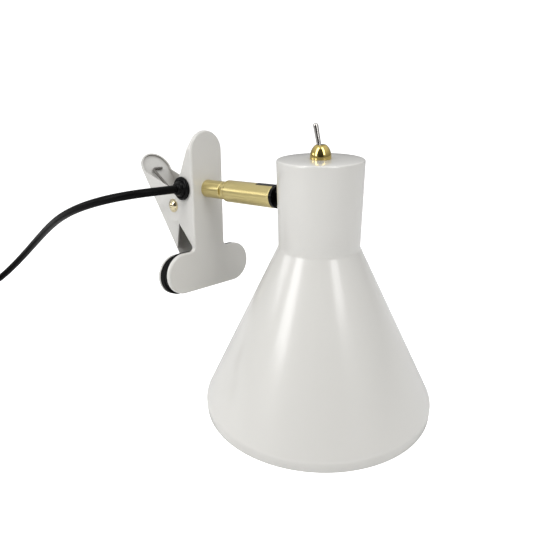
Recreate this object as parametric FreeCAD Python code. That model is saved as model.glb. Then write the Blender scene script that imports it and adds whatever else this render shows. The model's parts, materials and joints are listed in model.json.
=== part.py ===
import FreeCAD, Part
import math
from FreeCAD import Placement, Rotation, Vector

# A clip-on reading lamp that stands on the rim of its shade.
# Millimetres. +Z is up. The origin is on the shade's axis, on the surface that the rim stands on.
# The clip is on the +Y side. Its arm points back at the shade, along -Y.

# ---- shade ----
RIM_RADIUS = 70.0
CREASE_RADIUS = 70.3
NECK_LOW_RADIUS = 23.7
NECK_TOP_RADIUS = 24.5
LIP_HEIGHT = 6.3
CONE_HEIGHT = 96.6
NECK_HEIGHT = 50.0
SHADE_SHEET = 0.9
SHADE_HEIGHT = LIP_HEIGHT + CONE_HEIGHT + NECK_HEIGHT
TOP_EDGE_RADIUS = 1.2

# ---- arm: its axis starts at the tilt pivot and runs to the clip ----
PIVOT_Y = 36.2
PIVOT_Z = 126.9
ARM_DROOP = 3.0            # degrees below square, where the clip's weight holds the arm against its stop
CLIP_ROLL = 3.9            # degrees that the clip is turned about the arm
SLEEVE_RADIUS = 7.15
SLEEVE_START = 2.5         # distances along the arm, from the tilt pivot
INSERT_FLANGE = 2.0
POST_RADIUS = 6.0
CLIP_DISTANCE = 61.0       # tilt pivot to the front jaw's face
SLEEVE_END = CLIP_DISTANCE - 21.2
FLATS_LENGTH = 4.4
SPIGOT_RADIUS = 4.0
SPIGOT_LENGTH = 11.0
WIRE_BORE = 2.4

# ---- clip: measured from the front jaw's face, on the arm's axis ----
SHEET = 1.1
HANDLE_HALF = 13.6
HANDLE_TOP = 38.8
FOOT_CENTRE_X = 22.35
FOOT_CENTRE_Z = -56.4
LOBE_RADIUS = 14.2
CORNER_RADIUS = 3.5
RIM_DEPTH = 2.4
PIN_Y = 21.8
PIN_Z = -12.4
PIN_RADIUS = 2.5
FRONT_EAR = 11.0
GROMMET_Y = 10.5
GROMMET_Z = 0.5
CLIP_DEPTH = 13.2          # outside of the front jaw's foot to the outside of the rear jaw's foot
REAR_HALF = HANDLE_HALF - SHEET - 0.15
REAR_ANGLE = 35.0
REAR_LENGTH = 94.5
REAR_BEND_Z = -57.3
REAR_EAR = 9.6
REAR_LOBE = 14.0
REAR_FOOT_Z = FOOT_CENTRE_Z - 2.2
REAR_RIM = 2.5
PAD_GAP = 0.3
SPRING_WIRE = 0.75
SPRING_RADIUS = 4.3

# ---- lampholder for a small screw cap, and the switch above it ----
HOLDER_CAP_TOP = 112.0
HOLDER_LOW = 58.0
HOLDER_RADIUS = 13.0
SCREW_SHELL_RADIUS = 7.1
SOCKET_RADIUS = 9.5
BRACKET_Z = 113.0
SWITCH_PIVOT = 2.2         # above the shade's top
SWITCH_LEAN = 13.7
DOME_RADIUS = 5.95
DOME_SKIRT = 2.4
DOME_MOUTH = 2.75

# ---- cord ----
CORD_RADIUS = 2.8
CORD_ROUTE = [
    (-19.9, 107.7, 125.0), (-34.9, 107.8, 126.0), (-50.4, 114.6, 125.5), (-62.1, 129.6, 121.8),
    (-68.1, 151.8, 114.5), (-68.1, 178.8, 104.0), (-64.5, 208.5, 91.0), (-61.5, 239.5, 75.0),
    (-62.5, 268.5, 56.5), (-67.5, 293.5, 38.0), (-76.0, 314.0, 22.0), (-86.0, 331.5, 10.5),
    (-97.0, 346.5, 4.6), (-109.0, 359.7, 3.4),
]
COIL_CENTRE = (-135.4, 328.3)
COIL_MEAN = 31.0
COIL_HALF_WIDTH = 12.8
COIL_HEIGHT = 12.0
TIE_ANGLE = 235.0
TIE_WIDTH = 7.0
TIE_SHEET = 0.6
TAIL_ROUTE = [
    (-175.8, 321.2, 9.0), (-172.9, 304.0, 7.6), (-171.3, 286.0, 6.3), (-171.0, 270.0, 6.9),
]
PLUG_HALF_HEIGHT = 6.9

X_AXIS = Vector(1, 0, 0)
Y_AXIS = Vector(0, 1, 0)
Z_AXIS = Vector(0, 0, 1)
IN_PLACE = Placement()
ARM_POSE = Placement(Vector(0, PIVOT_Y, PIVOT_Z), Rotation(X_AXIS, -ARM_DROOP))
CLIP_POSE = ARM_POSE.multiply(Placement(Vector(0, CLIP_DISTANCE, 0), Rotation(Y_AXIS, CLIP_ROLL)))
REAR_Y = CLIP_DEPTH - SHEET + SHEET / math.cos(math.radians(REAR_ANGLE))
REAR_POSE = Placement(Vector(0, REAR_Y, REAR_BEND_Z), Rotation(X_AXIS, -REAR_ANGLE))


def save(name, shape, pose=IN_PLACE):
    placed = shape.copy()
    placed.Placement = pose.multiply(placed.Placement)
    placed.exportStep("parts/" + name + ".step")
    print(f"{name}: {placed.Volume:.1f} mm3, valid {placed.isValid()}")


def rod(radius, start, end):
    start, end = Vector(*start), Vector(*end)
    return Part.makeCylinder(radius, (end - start).Length, start, end - start)


def ring(outer, inner, start, end):
    return rod(outer, start, end).cut(rod(inner, start, end))


def block(low, high):
    size = [b - a for a, b in zip(low, high)]
    return Part.makeBox(*size, Vector(*low))


def turned(points):
    """A solid of revolution about Z from a closed outline of (radius, height) points."""
    wire = Part.makePolygon([Vector(r, 0, z) for r, z in points + points[:1]])
    return Part.Face(wire).revolve(Vector(0, 0, 0), Z_AXIS, 360)


def closed_face(edges):
    return Part.Face(Part.Wire([edge.toShape() for edge in edges]))


def line(a, b):
    return Part.LineSegment(Vector(*a), Vector(*b))


def arc(a, middle, b):
    return Part.Arc(Vector(*a), Vector(*middle), Vector(*b))


def hexagon(across, start, end):
    start, end = Vector(*start), Vector(*end)
    turn = Rotation(Z_AXIS, end - start)
    corners = []
    for i in range(7):
        angle = math.radians(60 * i + 30)
        radius = across / math.sqrt(3)
        corners.append(start + turn.multVec(Vector(radius * math.cos(angle), radius * math.sin(angle), 0)))
    return Part.Face(Part.makePolygon(corners)).extrude(end - start)


def softened(solid, radius, chosen):
    edges = [edge for edge in solid.Edges if chosen(edge)]
    return solid.makeFillet(radius, edges)


# ---------------------------------------------------------------- shade

def shade_profile(inset, top):
    """Half outline of the shade, inset by the sheet, from the rim up to the top face."""
    shoulder_z = LIP_HEIGHT + CONE_HEIGHT
    slope = (CREASE_RADIUS - NECK_LOW_RADIUS) / CONE_HEIGHT
    shift = inset * slope
    return [
        (RIM_RADIUS - inset, 0),
        (CREASE_RADIUS - inset, LIP_HEIGHT - shift / 2),
        (NECK_LOW_RADIUS - inset, shoulder_z - shift / 2),
        (NECK_TOP_RADIUS - inset, top),
    ]


def shade_shell():
    outer = turned([(0, 0)] + shade_profile(0, SHADE_HEIGHT) + [(0, SHADE_HEIGHT)])
    outer = softened(outer, TOP_EDGE_RADIUS, lambda e: e.BoundBox.ZMin > SHADE_HEIGHT - 0.01)
    inner_top = SHADE_HEIGHT - SHADE_SHEET
    inner = turned([(0, 0)] + shade_profile(SHADE_SHEET, inner_top) + [(0, inner_top)])
    shell = outer.cut(inner)
    shell = shell.cut(rod(3.2, (0, 0, inner_top - 1), (0, 0, SHADE_HEIGHT + 1)))
    return shell.cut(rod(3.1, (0, NECK_LOW_RADIUS - 5, PIVOT_Z), (0, NECK_TOP_RADIUS + 5, PIVOT_Z)))


def neck_radius(z):
    rise = (z - LIP_HEIGHT - CONE_HEIGHT) / NECK_HEIGHT
    return NECK_LOW_RADIUS + rise * (NECK_TOP_RADIUS - NECK_LOW_RADIUS)


def neck_core(inset):
    """The space inside the neck, or the neck's own outside where inset is 0."""
    low, high = LIP_HEIGHT + CONE_HEIGHT, SHADE_HEIGHT
    return turned([(0, low), (neck_radius(low) - inset, low), (neck_radius(high) - inset, high), (0, high)])


save("shade_shell", shade_shell())

# ---------------------------------------------------------------- tilt joint on the neck

TONGUE_HALF = 2.2
TONGUE_RISE = 2.6
TONGUE_HEAD = 5.4
COLLAR_RADIUS = 5.4
COLLAR_LENGTH = 2.6
STUD_RADIUS = 3.0
STUD_END = 15.6
BRACKET_OUT = 21.6
BRACKET_SHEET = 1.2
TILT_PIN_RADIUS = 1.5


def swivel_tongue():
    neck_y = neck_radius(PIVOT_Z)
    head = rod(TONGUE_HEAD, (-TONGUE_HALF, PIVOT_Y, PIVOT_Z), (TONGUE_HALF, PIVOT_Y, PIVOT_Z))
    bar = block((-TONGUE_HALF, neck_y + COLLAR_LENGTH - 0.5, PIVOT_Z - TONGUE_RISE),
                (TONGUE_HALF, PIVOT_Y, PIVOT_Z + TONGUE_RISE))
    collar = rod(COLLAR_RADIUS, (0, neck_y - 3, PIVOT_Z), (0, neck_y + COLLAR_LENGTH, PIVOT_Z))
    stud = rod(STUD_RADIUS, (0, STUD_END, PIVOT_Z), (0, neck_y + 1, PIVOT_Z))
    pin_hole = rod(TILT_PIN_RADIUS + 0.05, (-5, PIVOT_Y, PIVOT_Z), (5, PIVOT_Y, PIVOT_Z))
    return head.fuse([bar, collar]).cut([pin_hole, neck_core(0)]).fuse(stud)


save("swivel_tongue", swivel_tongue())
saddle = rod(6.0, (0, BRACKET_OUT, PIVOT_Z), (0, NECK_TOP_RADIUS, PIVOT_Z)).common(neck_core(SHADE_SHEET))
save("saddle_washer", saddle.cut(rod(STUD_RADIUS, (0, 0, PIVOT_Z), (0, 30, PIVOT_Z))))
nut_face = BRACKET_OUT - BRACKET_SHEET
tongue_nut = hexagon(10, (0, nut_face, PIVOT_Z), (0, nut_face - 4, PIVOT_Z))
save("tongue_nut", tongue_nut.cut(rod(STUD_RADIUS, (0, 0, PIVOT_Z), (0, 30, PIVOT_Z))))

# ---------------------------------------------------------------- lampholder

NIPPLE_RADIUS = 5.0
BRACKET_HALF = 7.0


def holder_bracket():
    leg = block((-BRACKET_HALF, nut_face, BRACKET_Z), (BRACKET_HALF, BRACKET_OUT, PIVOT_Z + 8))
    shelf = block((-BRACKET_HALF, 0, BRACKET_Z), (BRACKET_HALF, BRACKET_OUT, BRACKET_Z + BRACKET_SHEET))
    end = rod(BRACKET_HALF, (0, 0, BRACKET_Z), (0, 0, BRACKET_Z + BRACKET_SHEET))
    strip = leg.fuse([shelf, end]).removeSplitter()
    strip = softened(strip, 1.0, lambda e: e.Length > 13 and e.BoundBox.YMin > BRACKET_OUT - 0.01
                     and e.BoundBox.ZMax < BRACKET_Z + 0.01)
    strip = strip.cut(rod(NIPPLE_RADIUS, (0, 0, BRACKET_Z - 1), (0, 0, BRACKET_Z + 3)))
    return strip.cut(rod(STUD_RADIUS, (0, 10, PIVOT_Z), (0, 30, PIVOT_Z)))


def holder_cap():
    top, low, r = HOLDER_CAP_TOP, 98.0, HOLDER_RADIUS - 1.4
    outside = turned([(0, low), (r, low), (r, top - 6), (r - 4.2, top), (0, top)])
    outside = softened(outside, 1.5, lambda e: e.BoundBox.ZMin > top - 6.1)
    hollow = turned([(0, low), (r - 1.6, low), (r - 1.6, top - 7), (r - 5.2, top - 2.2), (0, top - 2.2)])
    return outside.cut(hollow).cut(rod(NIPPLE_RADIUS, (0, 0, low), (0, 0, top + 1)))


def holder_body():
    low, high, r = HOLDER_LOW, 98.0, HOLDER_RADIUS
    outside = turned([(0, low), (r, low), (r, high - 3), (r - 1.4, high - 1.6), (r - 1.4, high), (0, high)])
    outside = softened(outside, 1.0, lambda e: e.BoundBox.ZMax < low + 0.01)
    grooves = [ring(r + 1, r - 0.6, (0, 0, z), (0, 0, z + 1.0)) for z in (88, 85, 82)]
    hollow = rod(SOCKET_RADIUS, (0, 0, low - 1), (0, 0, high - 5))
    return outside.cut(grooves + [hollow, rod(3.0, (0, 0, high - 6), (0, 0, high + 1))])


def lamp_shell():
    """The threaded metal shell, with its round thread as evenly spaced ribs."""
    low, high, wall = HOLDER_LOW + 3.5, HOLDER_LOW + 24.0, 0.5
    shell = ring(SCREW_SHELL_RADIUS + wall, SCREW_SHELL_RADIUS, (0, 0, low), (0, 0, high))
    flare = ring(SOCKET_RADIUS, SCREW_SHELL_RADIUS, (0, 0, low), (0, 0, low + wall))
    ribs = []
    for i in range(7):
        ribs.append(Part.makeTorus(SCREW_SHELL_RADIUS + 0.55, 0.5, Vector(0, 0, low + 3 + 2.82 * i)))
    keep = ring(12, SCREW_SHELL_RADIUS, (0, 0, low), (0, 0, high))
    return shell.fuse([flare] + [rib.common(keep) for rib in ribs]).removeSplitter()


save("holder_bracket", holder_bracket())
save("holder_cap", holder_cap())
save("holder_body", holder_body())
save("lamp_shell", lamp_shell())
save("contact_base", rod(SOCKET_RADIUS, (0, 0, 84.5), (0, 0, 90.5)))
contact = block((-2.2, -5.5, 83.4), (2.2, 2.6, 83.8)).fuse(rod(2.2, (0, 0, 82.6), (0, 0, 83.5)))
save("centre_contact", contact.fuse(block((-2.2, -5.5, 83.4), (2.2, -5.1, 84.5))).removeSplitter())
nipple = ring(NIPPLE_RADIUS, 3.7, (0, 0, 105.0), (0, 0, 119.5))
save("holder_nipple", nipple)
nut_low = BRACKET_Z + BRACKET_SHEET
lock = hexagon(14, (0, 0, nut_low), (0, 0, nut_low + 3)).cut(rod(NIPPLE_RADIUS, (0, 0, 110), (0, 0, 120)))
save("nipple_nut", lock)
spacer = ring(7.5, NIPPLE_RADIUS, (0, 0, HOLDER_CAP_TOP), (0, 0, BRACKET_Z))
save("cap_washer", spacer)

# ---------------------------------------------------------------- switch

TOP = SHADE_HEIGHT
CEILING = SHADE_HEIGHT - SHADE_SHEET
BUSHING_RADIUS = 3.0
SWITCH_BODY_TOP = CEILING - 3.2
SWITCH_BODY_LOW = SWITCH_BODY_TOP - 10.5
LEVER_LOW_RADIUS = 1.25
LEVER_TIP_RADIUS = 1.45
LEVER_REACH = 15.8


def switch_bushing():
    bush = rod(BUSHING_RADIUS, (0, 0, SWITCH_BODY_TOP), (0, 0, TOP + 4.9))
    throat = turned([(0, TOP - 1), (1.75, TOP - 1), (1.75, TOP + 2.6), (2.25, TOP + 5), (0, TOP + 5)])
    return bush.cut(throat)


def dome_cap():
    """The brass dome that screws onto the switch bushing and hides it."""
    centre = TOP + DOME_SKIRT
    ball = Part.makeSphere(DOME_RADIUS, Vector(0, 0, centre))
    rise = math.sqrt(DOME_RADIUS ** 2 - DOME_MOUTH ** 2)
    ball = ball.common(block((-10, -10, centre), (10, 10, centre + rise)))
    dome = ball.fuse(rod(DOME_RADIUS, (0, 0, TOP), (0, 0, centre))).removeSplitter()
    dome = dome.cut(rod(BUSHING_RADIUS, (0, 0, TOP - 1), (0, 0, TOP + 5)))
    return dome.cut(rod(DOME_MOUTH, (0, 0, TOP + 4), (0, 0, TOP + 10)))


def toggle_lever():
    """Upright here: the pivot is at the origin. It is leaned into its rest place when it is saved."""
    stem = Part.makeCone(LEVER_LOW_RADIUS, LEVER_TIP_RADIUS, LEVER_REACH, Vector(0, 0, 0))
    tip = Part.makeSphere(LEVER_TIP_RADIUS, Vector(0, 0, LEVER_REACH))
    root = Part.makeSphere(1.55, Vector(0, 0, 0))
    return stem.fuse([tip, root]).removeSplitter()


body = block((-6.5, -6.0, SWITCH_BODY_LOW), (6.5, 6.0, SWITCH_BODY_TOP))
save("switch_body", softened(body, 0.8, lambda e: e.BoundBox.ZLength > 9))
save("switch_bushing", switch_bushing())
lock = hexagon(9, (0, 0, CEILING - 2.2), (0, 0, CEILING))
save("switch_locknut", lock.cut(rod(BUSHING_RADIUS, (0, 0, CEILING - 3), (0, 0, CEILING + 1))))
save("dome_cap", dome_cap())
save("toggle_lever", toggle_lever(),
     Placement(Vector(0, 0, TOP + SWITCH_PIVOT), Rotation(X_AXIS, -SWITCH_LEAN)))
for name, x in (("terminal_a", -3.6), ("terminal_b", 3.6)):
    tab = block((x - 1.2, -0.4, SWITCH_BODY_LOW - 5), (x + 1.2, 0.4, SWITCH_BODY_LOW))
    save(name, tab)


def tube_path(points, share=0.45):
    """Straight runs joined by tangent arcs. Each arc is as large as its two runs allow."""
    points = [Vector(*p) for p in points]
    edges, radii, start = [], [], points[0]
    for before, corner, after in zip(points, points[1:], points[2:]):
        into, out = corner - before, after - corner
        cut = share * min(into.Length, out.Length)
        half = into.getAngle(out) / 2
        radii.append(cut / math.tan(half))
        first = corner - into.normalize() * cut
        last = corner + out.normalize() * cut
        chord = (first + last) * 0.5
        middle = corner + (chord - corner).normalize() * (radii[-1] / math.cos(half) - radii[-1])
        edges.append(Part.LineSegment(start, first).toShape())
        edges.append(Part.Arc(first, middle, last).toShape())
        start = last
    edges.append(Part.LineSegment(start, points[-1]).toShape())
    return Part.Wire(edges), radii


def tube(points, radius):
    path, radii = tube_path(points)
    start = Vector(*points[0])
    profile = Part.Wire(Part.makeCircle(radius, start, Vector(*points[1]) - start))
    solid = path.makePipeShell([profile], True, False)
    return solid, path.Length, radii


for name, side in (("switch_lead_a", -1), ("switch_lead_b", 1)):
    lead_top = SWITCH_BODY_LOW - 5
    lead, _, _ = tube([(3.6 * side, 0, lead_top), (3.6 * side, 0, lead_top - 4.5),
                       (1.5 * side, 0, lead_top - 10), (1.5 * side, 0, 112)], 0.9)
    save(name, lead)

# ---------------------------------------------------------------- arm, along +Y from the tilt pivot

INSERT_PLUG = 5.85
INSERT_END = 13.0
SLOT_HALF = 2.35
KEY_HALF = 2.6
KEY_END = SLEEVE_START + 9.5
CHAMBER = 5.9


def along(radius, start, end):
    return rod(radius, (0, start, 0), (0, end, 0))


def arm_sleeve():
    sleeve = along(SLEEVE_RADIUS, -SLEEVE_START, SLEEVE_END)
    sleeve = softened(sleeve, 0.5, lambda e: isinstance(e.Curve, Part.Circle))
    sleeve = sleeve.cut([
        along(CHAMBER, -SLEEVE_START - 1, INSERT_END),
        along(WIRE_BORE, 0, SLEEVE_END),
        along(SPIGOT_RADIUS + 0.06, SLEEVE_END - SPIGOT_LENGTH - 0.4, SLEEVE_END + 1),
        block((-KEY_HALF, -SLEEVE_START - 1, 0), (KEY_HALF, KEY_END, SLEEVE_RADIUS + 1)),
        rod(1.5, (0, SLEEVE_END - 4.6, -SLEEVE_RADIUS - 1), (0, SLEEVE_END - 4.6, 0)),
    ])
    groove = along(SLEEVE_RADIUS + 1, SLEEVE_END - 2.1, SLEEVE_END - 1.7)
    return sleeve.cut(groove.cut(along(SLEEVE_RADIUS - 0.25, 0, SLEEVE_END)))


def swivel_insert():
    """Black insert in the sleeve's end: it holds the tongue and fills the sleeve's slot."""
    face = -SLEEVE_START - INSERT_FLANGE
    insert = along(SLEEVE_RADIUS - 0.15, face, -SLEEVE_START)
    insert = insert.fuse(along(INSERT_PLUG, -SLEEVE_START, INSERT_END))
    key = block((-KEY_HALF + 0.05, -SLEEVE_START, 4), (KEY_HALF - 0.05, KEY_END - 0.05, SLEEVE_RADIUS + 1))
    key = key.common(along(SLEEVE_RADIUS + 0.15, -SLEEVE_START, KEY_END))
    insert = insert.fuse(key).removeSplitter()
    pocket = block((-SLOT_HALF, face - 1, -5.7), (SLOT_HALF, TONGUE_HEAD + 0.35, 5.7))
    mouth = block((-SLOT_HALF, face - 1, -6.1), (SLOT_HALF, -SLEEVE_START, 6.1))
    pin_hole = rod(TILT_PIN_RADIUS, (-10, 0, 0), (10, 0, 0))
    return insert.cut([pocket, mouth, along(WIRE_BORE, 0, INSERT_END + 1), pin_hole])


def arm_post():
    flats_end = SLEEVE_END + FLATS_LENGTH
    post = along(POST_RADIUS, flats_end, CLIP_DISTANCE)
    post = softened(post, 0.4, lambda e: isinstance(e.Curve, Part.Circle)
                    and e.BoundBox.YMax < flats_end + 0.1)
    neck = along(POST_RADIUS - 0.25, SLEEVE_END + 0.35, flats_end + 0.5)
    neck = neck.common(block((-4.9, 0, -10), (4.9, CLIP_DISTANCE, 10)))
    spigot = along(SPIGOT_RADIUS, SLEEVE_END - SPIGOT_LENGTH, SLEEVE_END + 1)
    screw_y = SLEEVE_END - 4.6
    groove = along(SPIGOT_RADIUS + 1, screw_y - 1.7, screw_y + 1.7).cut(along(3.2, 0, CLIP_DISTANCE))
    stub = along(5.0, CLIP_DISTANCE - 1, CLIP_DISTANCE + SHEET + 3.2)
    post = post.fuse([neck, spigot, stub]).removeSplitter().cut(groove)
    mouth = along(3.1, CLIP_DISTANCE - 4, CLIP_DISTANCE + 6)
    return post.cut([along(WIRE_BORE, SLEEVE_END - SPIGOT_LENGTH - 1, CLIP_DISTANCE + 1), mouth])


def grub_screw():
    y = SLEEVE_END - 4.6
    screw = rod(1.5, (0, y, -SLEEVE_RADIUS + 0.15), (0, y, -3.35))
    return screw.cut(hexagon(1.5, (0, y, -SLEEVE_RADIUS), (0, y, -SLEEVE_RADIUS + 1.5)))


save("arm_sleeve", arm_sleeve(), ARM_POSE)
save("swivel_insert", swivel_insert(), ARM_POSE)
save("swivel_pin", rod(TILT_PIN_RADIUS, (-5.6, 0, 0), (5.6, 0, 0)), ARM_POSE)
save("arm_post", arm_post(), ARM_POSE)
save("grub_screw", grub_screw(), ARM_POSE)
shim = along(POST_RADIUS - 0.4, SLEEVE_END + 0.02, SLEEVE_END + 0.35)
shim = shim.cut(along(SPIGOT_RADIUS + 0.02, 0, 60))
save("friction_washer", shim, ARM_POSE)

# ---------------------------------------------------------------- clip, front face at y = 0

def jaw_outline(inset, y):
    """The tall handle with a round end that stands on a wide foot with two round lobes."""
    h, r, c = HANDLE_HALF - inset, LOBE_RADIUS - inset, CORNER_RADIUS + inset
    end_z = HANDLE_TOP - HANDLE_HALF
    cx, cz = HANDLE_HALF + CORNER_RADIUS, FOOT_CENTRE_Z + LOBE_RADIUS + CORNER_RADIUS
    fx, fz = FOOT_CENTRE_X, FOOT_CENTRE_Z
    s = c * math.sqrt(0.5)
    edges = [arc((-h, y, end_z), (0, y, end_z + h), (h, y, end_z))]
    for side in (1, -1):
        part = [
            line((side * h, y, end_z), (side * h, y, cz)),
            arc((side * h, y, cz), (side * (cx - s), y, cz - s), (side * cx, y, cz - c)),
            line((side * cx, y, cz - c), (side * fx, y, fz + r)),
            arc((side * fx, y, fz + r), (side * (fx + r), y, fz), (side * fx, y, fz - r)),
        ]
        edges += part
    edges.append(line((fx, y, fz - r), (-fx, y, fz - r)))
    wire = Part.Wire(Part.__sortEdges__([edge.toShape() for edge in edges]))
    return Part.Face(wire)


def stadium(centre_z, half, radius, y):
    edges = [
        line((-half, y, centre_z + radius), (half, y, centre_z + radius)),
        arc((half, y, centre_z + radius), (half + radius, y, centre_z), (half, y, centre_z - radius)),
        line((half, y, centre_z - radius), (-half, y, centre_z - radius)),
        arc((-half, y, centre_z - radius), (-half - radius, y, centre_z), (-half, y, centre_z + radius)),
    ]
    return closed_face(edges)


def tangent_point(point, centre, radius, side):
    """Where a line from a point touches a circle, in the Y-Z plane."""
    dy, dz = centre[0] - point[0], centre[1] - point[1]
    far = math.hypot(dy, dz)
    angle = math.atan2(dz, dy) + side * math.asin(radius / far)
    reach = math.sqrt(far ** 2 - radius ** 2)
    return point[0] + reach * math.cos(angle), point[1] + reach * math.sin(angle)


def crossing(point, direction, centre, radius):
    """Where a line from a point first meets a circle, in the Y-Z plane."""
    size = math.hypot(*direction)
    uy, uz = direction[0] / size, direction[1] / size
    dy, dz = centre[0] - point[0], centre[1] - point[1]
    reach = dy * uy + dz * uz
    off = dy * uz - dz * uy
    reach -= math.sqrt(radius ** 2 - off ** 2)
    return point[0] + reach * uy, point[1] + reach * uz


def side_profile(before, top_touch, far, low_touch, after):
    """A prism across the clip whose Y-Z outline is straight but for the round ear about the pin."""
    outline = before + [top_touch]
    edges = [line((-60, *a), (-60, *b)) for a, b in zip(outline, outline[1:])]
    edges.append(arc((-60, *top_touch), (-60, *far), (-60, *low_touch)))
    outline = [low_touch] + after + before[:1]
    edges += [line((-60, *a), (-60, *b)) for a, b in zip(outline, outline[1:])]
    return closed_face(edges).extrude(Vector(120, 0, 0))


def front_jaw():
    deep = 40
    outer = jaw_outline(0, 0).extrude(Vector(0, deep, 0))
    outer = softened(outer, 1.5, lambda e: e.BoundBox.YMax < 0.01)
    tray = outer.cut(jaw_outline(SHEET, SHEET).extrude(Vector(0, deep, 0)))
    shoulder, waist = (13.0, 9.4), (3.4, -38.1)
    touch = tangent_point(shoulder, (PIN_Y, PIN_Z), FRONT_EAR, 1)
    notch = crossing(waist, (0.69, 0.72), (PIN_Y, PIN_Z), FRONT_EAR)
    far = (PIN_Y + FRONT_EAR * math.cos(-0.5), PIN_Z + FRONT_EAR * math.sin(-0.5))
    profile = side_profile(
        [(-1, 45), (RIM_DEPTH, 45), (RIM_DEPTH, 31.5), shoulder], touch, far, notch,
        [waist, (RIM_DEPTH, -40.2), (RIM_DEPTH, -75), (-1, -75)])
    jaw = tray.common(profile)
    return jaw.cut([
        along(5.05, -1, 5),
        rod(PIN_RADIUS, (-20, PIN_Y, PIN_Z), (20, PIN_Y, PIN_Z)),
        rod(5.5, (-20, GROMMET_Y, GROMMET_Z), (0, GROMMET_Y, GROMMET_Z)),
    ])


def handle_blank(inset, low, y):
    h = REAR_HALF - inset
    end_z = REAR_LENGTH - REAR_HALF
    edges = [
        line((-h, y, low), (-h, y, end_z)),
        arc((-h, y, end_z), (0, y, end_z + h), (h, y, end_z)),
        line((h, y, end_z), (h, y, low)),
        line((h, y, low), (-h, y, low)),
    ]
    return closed_face(edges)


def to_rear(y, z):
    """A point of the clip's Y-Z plane in the rear handle's own plane."""
    local = REAR_POSE.inverse().multVec(Vector(0, y, z))
    return local.y, local.z


def rear_jaw():
    deep = -40
    outer = handle_blank(0, 0, 0).extrude(Vector(0, deep, 0))
    outer = softened(outer, 1.3, lambda e: e.BoundBox.YMin > -0.01 and e.BoundBox.ZMax > 1)
    tray = outer.cut(handle_blank(SHEET, -1, -SHEET).extrude(Vector(0, deep, 0)))
    pin = to_rear(PIN_Y, PIN_Z)
    start = (-RIM_DEPTH, 79.5)
    touch = tangent_point(start, pin, REAR_EAR, -1)
    waist = (-SHEET - 0.3, 16.4)
    notch = crossing(waist, (-0.71, 0.70), pin, REAR_EAR)
    far = (pin[0] - REAR_EAR, pin[1])
    profile = side_profile(
        [(1, 100), (-RIM_DEPTH, 100), start], touch, far, notch,
        [waist, (-SHEET, 15), (-SHEET, -5), (1, -5)])
    handle = tray.common(profile)
    handle.Placement = REAR_POSE
    back = CLIP_DEPTH
    plate = stadium(REAR_FOOT_Z, FOOT_CENTRE_X, REAR_LOBE, back - REAR_RIM).extrude(Vector(0, REAR_RIM, 0))
    plate = softened(plate, 1.3, lambda e: e.BoundBox.YMin > back - 0.01)
    hollow = stadium(REAR_FOOT_Z, FOOT_CENTRE_X, REAR_LOBE - SHEET, back - 3)
    hollow = hollow.extrude(Vector(0, 3 - SHEET, 0))
    window = block((-REAR_HALF + 1.3, 0, REAR_BEND_Z),
                   (REAR_HALF - 1.3, back + 5, REAR_FOOT_Z + REAR_LOBE + 1))
    jaw = handle.fuse(plate.cut([hollow, window])).removeSplitter()
    return jaw.cut(rod(PIN_RADIUS + 0.06, (-20, PIN_Y, PIN_Z), (20, PIN_Y, PIN_Z)))


def pad(centre_z, lobe, back, rim, face):
    """Rubber pad: a plug in the foot's tray, and a wider block that stands over the tray's rim."""
    low, high = min(rim, face), max(rim, face)
    block_face = stadium(centre_z, FOOT_CENTRE_X, lobe - 0.4, low)
    rubber = block_face.extrude(Vector(0, high - low, 0))
    rubber = softened(rubber, 0.8, lambda e: e.BoundBox.YLength < 0.01 and abs(e.BoundBox.YMin - face) < 0.01)
    plug_face = stadium(centre_z, FOOT_CENTRE_X, lobe - SHEET - 0.3, min(back, rim))
    return rubber.fuse(plug_face.extrude(Vector(0, abs(rim - back), 0))).removeSplitter()


save("front_jaw", front_jaw(), CLIP_POSE)
save("rear_jaw", rear_jaw(), CLIP_POSE)
middle = CLIP_DEPTH / 2
front_pad = pad(FOOT_CENTRE_Z, LOBE_RADIUS, SHEET, RIM_DEPTH + 0.05, middle - PAD_GAP / 2)
save("front_pad", front_pad, CLIP_POSE)
rear_pad = pad(REAR_FOOT_Z, REAR_LOBE, CLIP_DEPTH - SHEET, CLIP_DEPTH - REAR_RIM - 0.05, middle + PAD_GAP / 2)
save("rear_pad", rear_pad, CLIP_POSE)

# ---------------------------------------------------------------- hinge pin, spring, grommet

WASHER_OUT = HANDLE_HALF + 0.6
HEAD_RADIUS = 3.9


def pivot_pin():
    pin = rod(PIN_RADIUS, (-WASHER_OUT, PIN_Y, PIN_Z), (WASHER_OUT, PIN_Y, PIN_Z))
    heads = []
    for side in (-1, 1):
        rise = 2.3
        ball_radius = (HEAD_RADIUS ** 2 + rise ** 2) / (2 * rise)
        centre_x = side * (WASHER_OUT + rise - ball_radius)
        ball = Part.makeSphere(ball_radius, Vector(centre_x, PIN_Y, PIN_Z))
        outside = rod(HEAD_RADIUS + 1, (side * WASHER_OUT, PIN_Y, PIN_Z), (side * 20, PIN_Y, PIN_Z))
        heads.append(ball.common(outside))
    return pin.fuse(heads).removeSplitter()


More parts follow.
